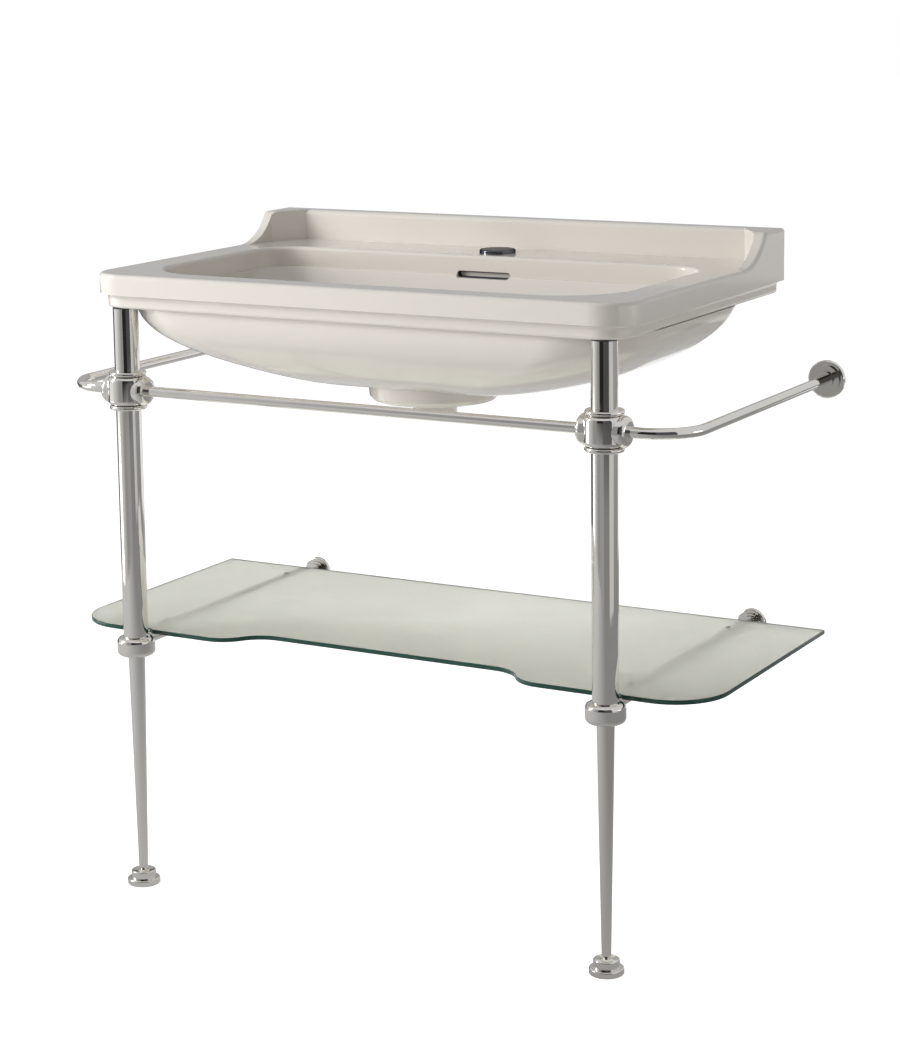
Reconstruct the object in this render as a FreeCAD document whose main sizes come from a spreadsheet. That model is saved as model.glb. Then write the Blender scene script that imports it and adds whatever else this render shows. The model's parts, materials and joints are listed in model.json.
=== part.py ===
import FreeCAD, Part
import math
import os
from types import SimpleNamespace

import Sketcher

# Console washbasin: a ceramic basin hung on the wall, with two chromed front legs,
# a towel rail round three sides and a glass shelf. Lengths in millimetres, +Z up,
# +X to the right as seen from the front, +Y towards the wall. The origin lies on
# the floor, in the middle of the footprint.

doc = FreeCAD.newDocument("ConsoleBasin")
sheet = doc.addObject("Spreadsheet::Sheet", "Sizes")
NODES = []


# ---------------------------------------------------------------- lengths

class Dim:
    """A length that knows its number and the sheet formula that it comes from."""

    def __init__(self, value, text):
        self.value = float(value)
        self.text = text

    def __add__(self, other):
        other = dim(other)
        return Dim(self.value + other.value, "(%s + %s)" % (self.text, other.text))

    def __sub__(self, other):
        other = dim(other)
        return Dim(self.value - other.value, "(%s - %s)" % (self.text, other.text))

    def __mul__(self, other):
        other = dim(other)
        return Dim(self.value * other.value, "(%s * %s)" % (self.text, other.text))

    def __truediv__(self, other):
        other = dim(other)
        return Dim(self.value / other.value, "(%s / %s)" % (self.text, other.text))

    def __neg__(self):
        return Dim(-self.value, "(0 - %s)" % self.text)

    def __pow__(self, power):
        return Dim(self.value ** power, "(%s ^ %r)" % (self.text, float(power)))

    def __radd__(self, other):
        return dim(other) + self

    def __rsub__(self, other):
        return dim(other) - self

    def __rmul__(self, other):
        return dim(other) * self


def dim(value):
    """Turns a plain number into a Dim and leaves a Dim as it is."""
    if isinstance(value, Dim):
        return value
    return Dim(value, "(%r)" % float(value))


def root(value):
    """The square root of a Dim."""
    return Dim(math.sqrt(value.value), "sqrt(%s)" % value.text)


def shorter(one, other):
    """The smaller of two lengths."""
    one, other = dim(one), dim(other)
    return Dim(min(one.value, other.value), "min(%s; %s)" % (one.text, other.text))


SIZES = {
    # overall places
    "rim_height": 857.0,          # floor to the top of the basin rim
    "leg_inset": 43.0,            # side of the basin to the leg axis
    "leg_setback": 31.0,          # front of the basin to the leg axis
    "rail_height": 697.0,         # floor to the axis of the towel rail
    "shelf_joint_height": 341.0,  # floor to the middle of the shelf collars
    # basin, outside
    "basin_width": 800.0,         # width of the basin
    "basin_depth": 505.0,         # wall to the front of the rim
    "corner_radius": 50.0,        # front corners of the rim, in plan
    "band_height": 28.0,          # height of the upper band of the fascia
    "fascia_height": 47.0,        # rim to the underside of the slab
    "band_inset": 11.0,           # lower band set back from the upper band
    "band_cove": 8.0,             # hollow between the two bands
    "edge_round": 5.0,            # rounding of the outer edges
    "splash_rise": 43.0,          # splash ledge above the rim
    "splash_depth": 24.0,         # depth of the splash ledge
    "cheek_width": 16.0,          # width of the two end cheeks
    "cheek_foot": 136.0,          # wall to the foot of the cheek curve
    "cheek_hollow": 80.0,         # radius of the hollow of the cheek curve
    "cheek_brow": 12.0,           # radius of the brow of the cheek curve
    # basin, bowl
    "bowl_side_rim": 55.0,        # width of the flat rim at the sides
    "bowl_front_rim": 45.0,       # width of the flat rim at the front
    "deck_depth": 120.0,          # wall to the back edge of the bowl
    "bowl_corner": 92.0,          # front corners of the bowl opening
    "bowl_back_corner": 60.0,     # back corners of the bowl opening
    "bowl_step": 3.0,             # ledge where the bowl narrows below the rim
    "bowl_step_depth": 28.0,      # rim to that ledge
    "bowl_depth": 143.0,          # rim to the bowl floor
    "ceramic_wall": 15.0,         # thickness of the ceramic
    "outlet_to_wall": 262.0,      # waste outlet axis to the wall
    "outlet_bore": 46.0,          # bore of the waste outlet
    "outlet_neck": 60.0,          # outside of the outlet neck
    "outlet_drop": 24.0,          # length of the outlet neck
    "outlet_pad": 178.0,          # flat pad round the outlet neck
    "outlet_pad_thick": 20.0,     # height of that pad
    "tap_to_wall": 78.0,          # tap hole axis to the wall
    "tap_hole": 35.0,             # tap hole
    "overflow_width": 84.0,       # overflow slot, across
    "overflow_height": 9.5,       # overflow slot, upright
    "overflow_below_rim": 27.0,   # rim to the middle of the overflow slot
    "overflow_depth": 9.0,        # depth of the overflow recess
    "bolt_spacing": 280.0,        # between the two wall fixing holes
    "bolt_hole": 14.0,            # wall fixing hole
    "bowl_floor": 242.0,          # flat floor of the bowl, across
    "bowl_back_low": 38.0,        # bowl behind the outlet axis, at its floor
    "mouth_round": 5.0,           # rounding of the bowl edge
    "outlet_rise": 38.0,          # outlet boss above the floor, at the back
    "outlet_flare": 5.0,          # draft of the outlet boss
    "outlet_soft": 6.0,           # bevel of the outlet boss
    "outlet_seat": 60.0,          # seat for the waste flange
    "outlet_seat_depth": 2.5,     # depth of that seat
    "back_wall": 22.0,            # wall of the basin at its back
    "deck_thick": 18.0,           # thickness of the tap ledge
    "recess_width": 420.0,        # hollow under the tap ledge, across
    "recess_to_wall_far": 103.0,  # wall to the front of that hollow
    "recess_corner": 12.0,        # corners of that hollow
    "bolt_below_rim": 33.0,       # rim to the wall fixing holes
    "splay_width": 32.0,          # splayed end of the splash ledge, across
    "splay_depth": 44.0,          # splayed end of the splash ledge, deep
    "splash_round": 7.0,          # rounding of the splash ledge
    # basin, belly under the slab
    "belly_margin": 1.0,          # belly set in from the lower band at the sides
    "belly_front_rim": 23.0,      # belly set in from the rim at the front
    "belly_to_wall": 105.0,       # belly to the wall, under the slab
    "belly_back_low": 50.0,       # belly behind the outlet axis, at its bottom
    "belly_floor": 241.0,         # flat underside of the belly, across
    "belly_drop": 111.0,          # slab to the bottom of the belly
    "belly_corner": 112.0,        # front corners of the belly
    "belly_back_corner": 45.0,    # back corners of the belly
    "belly_corner_gain": 20.0,    # how much the corners open towards the bottom
    # tap hole blank and overflow
    "cover": 51.0,                # cover of the tap hole
    "cover_thick": 5.5,           # thickness of that cover
    "cover_shank": 30.0,          # shank of that cover
    "shank_length": 42.0,         # length of that shank
    "washer_thick": 2.0,          # washer under the tap ledge
    "washer": 46.0,               # washer under the tap ledge, across
    "nut_across": 40.0,           # nut under the tap ledge, across flats
    "nut_thick": 8.0,             # height of that nut
    "trim_wall": 1.5,             # wall of the overflow ring
    "trim_sink": 2.0,             # overflow ring set back from the bowl wall
    # legs
    "tube": 34.0,                 # leg tube, outside
    "tube_wall": 1.5,             # wall of the leg tube
    "fit": 0.05,                  # clearance on the radius of a turned fit
    "pad_thick": 1.5,             # rubber pad between leg and basin
    "taper_top": 23.0,            # lower leg at the top
    "taper_end": 12.5,            # lower leg at the foot
    "foot_height": 20.0,          # height of the foot
    "foot_ring": 45.0,            # lower ring of the foot
    "foot_cap": 34.0,             # upper ring of the foot
    "foot_ring_height": 9.0,      # height of the lower ring
    "foot_stud": 8.0,             # stud of the foot
    "foot_back": 2.5,             # how far the foot screws in
    "foot_soft": 2.0,             # rounding of the foot
    "foot_dish": 1.5,             # dish in the top of the foot
    "stud_bore": 40.0,            # depth of the bore for the stud
    "stud_spare": 5.0,            # stud short of the bottom of its bore
    "plug_length": 14.0,          # plugs inside the tubes
    "spigot": 16.0,               # spigot on top of the tapered leg
    "spigot_length": 12.0,        # length of that spigot
    "collar_seat": 0.0,           # seat of the upper tube, above the middle of the collar
    # towel rail
    "rail": 14.0,                 # towel rail, outside
    "rail_wall": 1.2,             # wall of the towel rail
    "rail_out": 107.0,            # rail stands out past the leg axis
    "rail_bend": 60.0,            # bend radius of the rail, on its axis
    "collar_barrel": 54.0,        # barrel of the rail collar
    "collar_barrel_height": 40.0, # height of that barrel
    "collar_ring": 51.0,          # rings above and below the barrel
    "collar_height": 52.0,        # height of the rail collar
    "boss": 40.0,                 # side bosses of the rail collar
    "boss_reach": 34.0,           # leg axis to the end of the boss
    "rail_flange": 52.0,          # wall flange of the rail
    "flange_thick": 14.0,         # projection of the wall flanges
    "collar_soft": 7.0,           # rounding of the barrel
    "collar_lip": 3.4,            # rounding of the rings above and below the barrel
    "collar_groove": 2.0,         # groove beside the rings
    "boss_round": 8.0,            # rounding of the boss ends
    "grub": 5.0,                  # grub screw
    "grub_place": 23.0,           # leg axis to the grub screws
    "grub_sink": 0.5,             # grub screws below the face of the boss
    "rail_gap": 0.5,              # tube ends short of the disc of the wall plug
    "disc_thick": 3.0,            # disc of the wall plug
    "screw_hole": 4.5,            # screw holes in the wall plugs
    "rail_disc": 40.0,            # disc of the rail plug
    "rail_disc_pitch": 27.0,      # between the screw holes of the rail plug
    "flange_step": 6.0,           # step on the wall flange
    "flange_hub": 5.0,            # hub of the wall flange round the tube
    "flange_neck": 4.0,           # length of that hub
    "flange_base": 6.0,           # lower step of the wall flange
    "flange_air": 0.3,            # flange clear of the wall plug
    "flange_soft": 2.0,           # rounding of the wall flange
    # shelf
    "shelf_collar": 52.0,         # shelf collar
    "shelf_collar_height": 26.0,  # height of the shelf collar
    "arm": 14.0,                  # shelf arm, outside
    "arm_wall": 1.2,              # wall of the shelf arm
    "arm_raise": 3.0,             # arm axis above the middle of the collar
    "rosette": 42.0,              # wall rosette of the arm
    "bumper_thick": 3.5,          # clear bumper between arm and glass
    "glass_thick": 6.0,           # glass shelf
    "glass_overhang": 126.0,      # leg axis to the end of the glass shelf
    "glass_to_wall": 50.0,        # back edge of the glass to the wall
    "glass_setback": 17.0,        # leg axis to the front edge of the glass
    "glass_corner": 75.0,         # front corners of the glass
    "glass_recess": 45.0,         # depth of the recess in the front edge
    "glass_recess_half": 168.0,   # half the flat of that recess
    "notch_gap": 6.0,             # glass clear of the leg
    "shelf_collar_soft": 7.0,     # rounding of the shelf collar
    "arm_engage": 8.0,            # arm sits this deep in the collar
    "arm_crown": 0.4,             # spare depth of the bore for the arm
    "arm_disc": 31.0,             # disc of the arm plug
    "arm_disc_pitch": 22.0,       # between the screw holes of the arm plug
    "bumper": 9.0,                # clear bumper, across
    "bumper_to_wall": 90.0,       # wall to the rear bumpers
    "bumper_to_leg": 74.0,        # leg axis to the front bumpers
    "glass_scoop_bend": 50.0,     # bends that lead into the scoop of the glass
}

for row, (alias, value) in enumerate(SIZES.items(), 1):
    sheet.set("A%d" % row, alias.replace("_", " "))
    sheet.set("B%d" % row, str(value))
    sheet.setAlias("B%d" % row, alias)
doc.recompute()

s = SimpleNamespace()
for alias, value in SIZES.items():
    setattr(s, alias, Dim(value, "Sizes." + alias))

SLACK = 0.01
CUT_PAST = 1.0
BELLY_POWER = 2.0
HOLLOW_POWER = 3.0
STADIUM = 0.49
BELLY_PARTS = (0.0, 0.28, 0.48, 0.68, 0.86, 1.0)
HOLLOW_PARTS = (0.0, 0.3, 0.55, 0.75, 0.9, 1.0)

ORIGIN_BACK = s.basin_depth / 2
LEG_OUT = s.basin_width / 2 - s.leg_inset
LEG_AHEAD = s.basin_depth - s.leg_setback
UP = FreeCAD.Vector(0, 0, 1)


# ---------------------------------------------------------------- building blocks

def new_body(name, x=0.0, y=0.0, z=0.0):
    """A body whose own origin lies x across, y in front of the wall and z up."""
    body = doc.addObject("PartDesign::Body", name)
    body.Label = name
    for axis, place in (("x", dim(x)), ("y", ORIGIN_BACK - dim(y)), ("z", dim(z))):
        body.setExpression("Placement.Base." + axis, place.text)
    NODES.append(body)
    return body


def sketch_on(body, role, lift=None):
    """A sketch on one of the body's own origin planes, lifted along its normal."""
    sketch = body.newObject("Sketcher::SketchObject", body.Name + "_sketch")
    plane = [f for f in body.Origin.OriginFeatures if f.Role == role][0]
    sketch.AttachmentSupport = [(plane, "")]
    sketch.MapMode = "FlatFace"
    if lift is not None:
        sketch.setExpression("AttachmentOffset.Base.z", dim(lift).text)
    return sketch


def bind(sketch, kind, where, length):
    """Adds one driving constraint whose value follows the sheet."""
    length = dim(length)
    index = sketch.addConstraint(Sketcher.Constraint(kind, *where, length.value))
    sketch.setExpression("Constraints[%d]" % index, length.text)


def pin(sketch, geo, end, x, y):
    """Places the end of an edge at x, y."""
    for kind, axis, place in (("DistanceX", -2, dim(x)), ("DistanceY", -1, dim(y))):
        if place.value == 0.0:
            sketch.addConstraint(Sketcher.Constraint("PointOnObject", geo, end, axis))
        else:
            bind(sketch, kind, (-1, 1, geo, end), place)


def arc_between(start, end, radius):
    """The short arc from start to end, to the left for a positive radius."""
    chord = end - start
    half = chord.Length / 2
    side = FreeCAD.Vector(-chord.y, chord.x, 0).normalize()
    away = math.sqrt(max(radius * radius - half * half, 0.0))
    middle = (start + end) / 2 + side * math.copysign(away, radius)
    first, last = (start, end) if radius > 0 else (end, start)
    turn = [math.atan2(p.y - middle.y, p.x - middle.x) for p in (first, last)]
    return Part.ArcOfCircle(Part.Circle(middle, UP, abs(radius)), *turn)


def outline(sketch, corners, closed=True):
    """Draws corners (x, y) or (x, y, radius of the arc to the next corner)."""
    points = [FreeCAD.Vector(dim(c[0]).value, dim(c[1]).value, 0) for c in corners]
    edges = []
    count = len(corners) if closed else len(corners) - 1
    for i in range(count):
        start = points[i]
        end = points[(i + 1) % len(points)]
        radius = dim(corners[i][2]) if len(corners[i]) > 2 else None
        if radius is None:
            geo = sketch.addGeometry(Part.LineSegment(start, end))
            edges.append((geo, 1, 2))
            continue
        geo = sketch.addGeometry(arc_between(start, end, radius.value))
        edges.append((geo, 1, 2) if radius.value > 0 else (geo, 2, 1))
    for i, (geo, start, end) in enumerate(edges):
        pin(sketch, geo, start, corners[i][0], corners[i][1])
        if i + 1 < len(edges) or closed:
            after = edges[(i + 1) % len(edges)]
            sketch.addConstraint(Sketcher.Constraint("Coincident", geo, end, after[0], after[1]))
        else:
            pin(sketch, geo, end, corners[-1][0], corners[-1][1])
        if len(corners[i]) < 3:
            continue
        radius = dim(corners[i][2])
        chord = points[(i + 1) % len(points)] - points[i]
        if abs(chord.Length - 2 * abs(radius.value)) > SLACK:
            bind(sketch, "Radius", (geo,), radius if radius.value > 0 else -radius)
        else:
            bind(sketch, "DistanceX", (-1, 1, geo, 3), corners[i][0])
    return sketch


def circle(sketch, diameter, x=0.0, y=0.0):
    """Draws one circle."""
    place = FreeCAD.Vector(dim(x).value, dim(y).value, 0)
    geo = sketch.addGeometry(Part.Circle(place, UP, dim(diameter).value / 2))
    pin(sketch, geo, 3, x, y)
    bind(sketch, "Diameter", (geo,), diameter)
    return sketch


def rounded(half, front, back, front_radius, back_radius):
    """Plan of a rounded rectangle, from front to back on the wall side."""
    a, b = front_radius, back_radius
    return [(-half + a, front), (half - a, front, a), (half, front + a),
            (half, back - b, b), (half - b, back), (-half + b, back, b),
            (-half, back - b), (-half, front + a, a)]


def feature(body, kind, **settings):
    """Adds a feature, binds the settings that are lengths and recomputes."""
    before = body.Shape.Volume if body.Tip and not body.Shape.isNull() else 0.0
    made = body.newObject("PartDesign::" + kind, body.Name + "_" + kind.lower())
    for key, value in settings.items():
        if isinstance(value, Dim):
            made.setExpression(key, value.text)
        else:
            setattr(made, key, value)
    doc.recompute()
    removes = kind in ("Pocket", "Groove", "SubtractiveLoft", "SubtractivePipe")
    if removes and not made.Shape.Volume < before - 1e-3:
        raise RuntimeError("%s cuts nothing" % made.Name)
    return made


def pad(body, sketch, length, back=False):
    return feature(body, "Pad", Profile=sketch, Length=dim(length), Reversed=back)


def pocket(body, sketch, length, back=False):
    return feature(body, "Pocket", Profile=sketch, Length=dim(length), Reversed=back)


def through(body, sketch):
    return feature(body, "Pocket", Profile=sketch, Type="ThroughAll", Midplane=True)


def turned(body, profile, role="XZ_Plane", axis="V_Axis"):
    """A turned piece: the profile holds (radius, height) corners."""
    sketch = outline(sketch_on(body, role), profile)
    return feature(body, "Revolution", Profile=sketch, ReferenceAxis=(sketch, [axis]),
                   Angle=360.0)


def rounded_edges(body, radius, test):
    """Rounds each edge of the tip that passes the test."""
    tip = body.Tip
    names = ["Edge%d" % (i + 1) for i, edge in enumerate(tip.Shape.Edges) if test(edge)]
    if not names:
        raise RuntimeError("no edge to round on %s" % body.Name)
    return feature(body, "Fillet", Base=(tip, names), Radius=dim(radius))


def flat_at(edge, axis, place, slack=0.01):
    """Whether an edge lies in the plane where the axis has that place."""
    box = edge.BoundBox
    low, high = getattr(box, axis + "Min"), getattr(box, axis + "Max")
    return abs(low - place) < slack and abs(high - place) < slack


# ---------------------------------------------------------------- basin

HALF = s.basin_width / 2
BOWL_TOP = s.fascia_height


def width_share(part, floor_share, power):
    """Share of the full width left at that part of the depth, down to the floor's share."""
    reach = (1.0 - floor_share ** power) ** (1.0 / power)
    return (1.0 - (reach * part) ** power) ** (1.0 / power)


def plan_sketch(body, half, front, back, front_radius, back_radius, lift):
    """A rounded rectangle in plan, lifted above the rim plane."""
    sketch = sketch_on(body, "XY_Plane", lift)
    return outline(sketch, rounded(half, front, back, front_radius, back_radius))


def slab_plan(inset):
    """Plan of the slab: rounded front corners and a straight back at the wall."""
    half = HALF - inset
    front = -s.basin_depth + inset
    radius = s.corner_radius - inset
    return [(-half, 0), (-half, front + radius, radius), (-half + radius, front),
            (half - radius, front, radius), (half, front + radius), (half, 0)]


def outer_bowl(body):
    """The rounded belly under the slab, lofted through plan sections."""
    drop = s.belly_drop
    side = HALF - s.band_inset - s.belly_margin
    front = s.basin_depth - s.outlet_to_wall - s.belly_front_rim
    back = s.outlet_to_wall - s.belly_to_wall
    sections = []
    for part in BELLY_PARTS:
        share = width_share(part, s.belly_floor / 2 / side, BELLY_POWER)
        depth = front * share + back - (back - s.belly_back_low) * part
        radius = s.belly_corner + s.belly_corner_gain * part
        radius = shorter(radius, depth * STADIUM)
        rear = shorter(s.belly_back_corner + s.belly_corner_gain * part, depth * STADIUM)
        near = -s.outlet_to_wall + back - (back - s.belly_back_low) * part
        sections.append(plan_sketch(body, side * share, -s.outlet_to_wall - front * share,
                                    near, radius, rear, -BOWL_TOP - drop * part))
    return feature(body, "AdditiveLoft", Profile=sections[0], Sections=sections[1:],
                   Ruled=False)


def inner_bowl(body):
    """The hollow of the bowl: an upright neck at the rim, then the lofted basin."""
    side = HALF - s.bowl_side_rim
    front = s.basin_depth - s.bowl_front_rim - s.outlet_to_wall
    back = s.outlet_to_wall - s.deck_depth
    neck = plan_sketch(body, side, -s.outlet_to_wall - front, -s.outlet_to_wall + back,
                       s.bowl_corner, s.bowl_back_corner, 0)
    pocket(body, neck, s.bowl_step_depth)
    drop = s.bowl_depth - s.bowl_step_depth
    step = s.bowl_step
    sections = []
    for part in HOLLOW_PARTS:
        share = width_share(part, s.bowl_floor / 2 / side, HOLLOW_POWER)
        near = back - step - (back - step - s.bowl_back_low) * part
        depth = (front - step) * share + near
        radius = shorter(s.bowl_corner, depth * STADIUM)
        rear = shorter(s.bowl_back_corner + s.belly_corner_gain * part, depth * STADIUM)
        sections.append(plan_sketch(body, (side - step) * share,
                                    -s.outlet_to_wall - (front - step) * share,
                                    -s.outlet_to_wall + near, radius, rear,
                                    -s.bowl_step_depth - drop * part))
    return feature(body, "SubtractiveLoft", Profile=sections[0], Sections=sections[1:],
                   Ruled=False)


def splash_and_cheeks(body):
    """The raised ledge at the wall with the two cheeks that run down to the rim."""
    inner = HALF - s.cheek_width
    corner = inner - s.splay_width
    mouth = -s.splash_depth - s.splay_depth
    plan = [(-HALF, 0), (-HALF, -s.cheek_foot), (-inner, -s.cheek_foot), (-inner, mouth),
            (-corner, -s.splash_depth), (corner, -s.splash_depth), (inner, mouth),
            (inner, -s.cheek_foot), (HALF, -s.cheek_foot), (HALF, 0)]
    pad(body, outline(sketch_on(body, "XY_Plane"), plan), s.splash_rise)
    reach = s.cheek_hollow + s.cheek_brow
    lift = s.cheek_hollow - s.splash_rise + s.cheek_brow
    run = root(reach * reach - lift * lift)
    brow = run - s.cheek_foot
    meet_y = run * s.cheek_hollow / reach - s.cheek_foot
    meet_z = s.cheek_hollow - lift * s.cheek_hollow / reach
    above = s.splash_rise + CUT_PAST
    ahead = -s.cheek_foot - CUT_PAST
    side = [(brow, s.splash_rise, s.cheek_brow), (meet_y, meet_z, -s.cheek_hollow),
            (-s.cheek_foot, 0), (ahead, 0), (ahead, above), (brow, above)]
    sketch = outline(sketch_on(body, "YZ_Plane"), side)
    return through(body, sketch)


def slab(body):
    """The slab with its two-banded fascia and the hollow between the bands."""
    lower = outline(sketch_on(body, "XY_Plane", -s.fascia_height), slab_plan(s.band_inset))
    pad(body, lower, s.fascia_height)
    upper = outline(sketch_on(body, "XY_Plane", -s.band_height), slab_plan(dim(0)))
    pad(body, upper, s.band_height)
    inner = HALF.value - s.band_inset.value
    low = -s.band_height.value

    def cove(edge):
        if not flat_at(edge, "Z", low):
            return False
        box = edge.BoundBox
        return abs(box.XMax) < inner + SLACK and abs(box.XMin) < inner + SLACK \
            and box.YMin > -s.basin_depth.value + s.band_inset.value - SLACK \
            and box.YMin < -SLACK
    rounded_edges(body, s.band_cove, cove)

    def foot(edge):
        return flat_at(edge, "Z", -s.fascia_height.value) and edge.BoundBox.YMin < -SLACK
    rounded_edges(body, s.edge_round, foot)


def outer_edges(body):
    """Rounds the rim, the cheek curves and the ends of the splash ledge."""
    half = HALF.value

    def outside(edge):
        box = edge.BoundBox
        if box.YMin > -SLACK or box.ZMin < -SLACK:
            return False
        beside = abs(abs(box.XMin) - half) < SLACK and abs(abs(box.XMax) - half) < SLACK
        front = box.YMax < -s.basin_depth.value + s.corner_radius.value + SLACK
        return beside and box.XMin * box.XMax > 0 or front
    rounded_edges(body, s.edge_round, outside)


def ledge_edges(body):
    """Rounds the front edge of the splash ledge."""
    def ledge(edge):
        return flat_at(edge, "Z", s.splash_rise.value) and \
            flat_at(edge, "Y", -s.splash_depth.value)
    rounded_edges(body, s.splash_round, ledge)


def bowl_edges(body):
    """Rounds the edge between rim and bowl."""
    side = HALF.value - s.bowl_side_rim.value
    front = -s.basin_depth.value + s.bowl_front_rim.value
    back = -s.deck_depth.value

    def mouth(edge):
        box = edge.BoundBox
        return flat_at(edge, "Z", 0.0) and box.XMax < side + SLACK and box.XMin > -side - SLACK \
            and box.YMin > front - SLACK and box.YMax < back + SLACK
    rounded_edges(body, s.mouth_round, mouth)


def outlet_boss(body):
    """Pad and neck round the waste outlet."""
    low = s.bowl_depth + s.ceramic_wall
    face = low + s.outlet_pad_thick
    pad_radius = s.outlet_pad / 2
    neck = s.outlet_neck / 2
    top = s.outlet_rise - s.bowl_depth
    ring = [(0, top), (pad_radius + s.outlet_flare, top), (pad_radius, -face + s.outlet_soft),
            (pad_radius - s.outlet_soft, -face), (neck, -face),
            (neck, -face - s.outlet_drop), (0, -face - s.outlet_drop)]
    plane = outline(sketch_on(body, "XZ_Plane", s.outlet_to_wall), ring)
    feature(body, "Revolution", Profile=plane, ReferenceAxis=(plane, ["V_Axis"]), Angle=360.0)


def outlet_bore(body):
    """The bore of the waste outlet with a seat for the flange."""
    face = s.bowl_depth + s.ceramic_wall + s.outlet_pad_thick
    seat = s.outlet_seat / 2
    bore = s.outlet_bore / 2
    dish = s.outlet_seat_depth
    hole = [(0, -s.bowl_depth + dish), (seat, -s.bowl_depth + dish),
            (seat, -s.bowl_depth - dish), (bore, -s.bowl_depth - dish * 2),
            (bore, -face - s.outlet_drop - CUT_PAST), (0, -face - s.outlet_drop - CUT_PAST)]
    plane = outline(sketch_on(body, "XZ_Plane", s.outlet_to_wall), hole)
    feature(body, "Groove", Profile=plane, ReferenceAxis=(plane, ["V_Axis"]), Angle=360.0)


def service_recess(body):
    """The hollow under the tap ledge, open below, with the tap and wall fixing holes."""
    sketch = sketch_on(body, "XY_Plane", -s.fascia_height)
    outline(sketch, rounded(s.recess_width / 2, -s.recess_to_wall_far, -s.back_wall,
                            s.recess_corner, s.recess_corner))
    pocket(body, sketch, s.fascia_height - s.deck_thick, back=True)
    tap = circle(sketch_on(body, "XY_Plane"), s.tap_hole, 0, -s.tap_to_wall)
    pocket(body, tap, s.fascia_height)
    holes = sketch_on(body, "XZ_Plane")
    for sign in (-1, 1):
        circle(holes, s.bolt_hole, s.bolt_spacing / 2 * sign, -s.bolt_below_rim)
    pocket(body, holes, s.back_wall + s.recess_corner, back=True)


def stadium(sketch, width, height, middle):
    """A slot with round ends, centred at that height."""
    radius = height / 2
    half = width / 2 - radius
    outline(sketch, [(-half, middle - radius), (half, middle - radius, radius),
                     (half, middle + radius), (-half, middle + radius, radius)])
    return sketch


def basin():
    body = new_body("basin", 0, 0, s.rim_height)
    slab(body)
    splash_and_cheeks(body)
    outer_edges(body)
    ledge_edges(body)
    outer_bowl(body)
    outlet_boss(body)
    inner_bowl(body)
    outlet_bore(body)
    bowl_edges(body)
    service_recess(body)
    slot = sketch_on(body, "XZ_Plane", s.deck_depth - s.overflow_depth)
    stadium(slot, s.overflow_width, s.overflow_height, -s.overflow_below_rim)
    pocket(body, slot, s.overflow_depth * 2, back=True)
    return body


def overflow_trim():
    """The bright ring that lines the overflow slot."""
    body = new_body("overflow_trim", 0, s.deck_depth, s.rim_height)
    ring = sketch_on(body, "XZ_Plane", -s.overflow_depth)
    middle = -s.overflow_below_rim
    stadium(ring, s.overflow_width, s.overflow_height, middle)
    inside = s.trim_wall * 2
    stadium(ring, s.overflow_width - inside, s.overflow_height - inside, middle)
    pad(body, ring, s.overflow_depth - s.trim_sink)
    return body


# ---------------------------------------------------------------- tap hole blank

def tap_hole_blank():
    """The turned cover over the tap hole, with the shank that goes through the deck."""
    body = new_body("tap_hole_cover", 0, s.tap_to_wall, s.rim_height)
    cap = s.cover / 2
    edge = s.cover_thick * 2 / 5
    shank = s.cover_shank / 2
    turned(body, [(0, -s.shank_length), (shank, -s.shank_length), (shank, 0), (cap, 0),
                  (cap, s.cover_thick - edge, edge), (cap - edge, s.cover_thick),
                  (0, s.cover_thick)])
    under = s.rim_height - s.deck_thick
    washer = new_body("tap_hole_washer", 0, s.tap_to_wall, under)
    bore = shank + s.fit
    rim = s.washer / 2
    turned(washer, [(bore, -s.washer_thick), (rim, -s.washer_thick), (rim, 0), (bore, 0)])
    nut = new_body("tap_hole_nut", 0, s.tap_to_wall, under - s.washer_thick)
    plan = sketch_on(nut, "XY_Plane", -s.nut_thick)
    across = s.nut_across / 2
    side = across * 2 / root(dim(3))
    outline(plan, [(side, 0), (side / 2, across), (-side / 2, across), (-side, 0),
                   (-side / 2, -across), (side / 2, -across)])
    circle(plan, s.cover_shank + s.fit * 2)
    pad(nut, plan, s.nut_thick)


# ---------------------------------------------------------------- legs

def upper_leg(name, sign):
    """The upright tube between the shelf collar and the underside of the basin."""
    seat = s.shelf_joint_height + s.collar_seat
    body = new_body(name, LEG_OUT * sign, LEG_AHEAD, seat)
    top = s.rim_height - s.fascia_height - s.pad_thick - seat
    ring = circle(sketch_on(body, "XY_Plane"), s.tube)
    circle(ring, s.tube - s.tube_wall * 2)
    pad(body, ring, top)
    cross = circle(sketch_on(body, "YZ_Plane"), s.rail + s.fit * 2, 0, s.rail_height - seat)
    through(body, cross)
    return body


def leg_pad(name, sign):
    """The rubber disc between the leg tube and the basin, with a plug into the tube."""
    body = new_body(name, LEG_OUT * sign, LEG_AHEAD,
                    s.rim_height - s.fascia_height)
    tube = s.tube / 2
    plug = tube - s.tube_wall - s.fit
    turned(body, [(0, -s.pad_thick - s.plug_length), (plug, -s.pad_thick - s.plug_length),
                  (plug, -s.pad_thick), (tube, -s.pad_thick), (tube, 0), (0, 0)])
    return body


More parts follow.
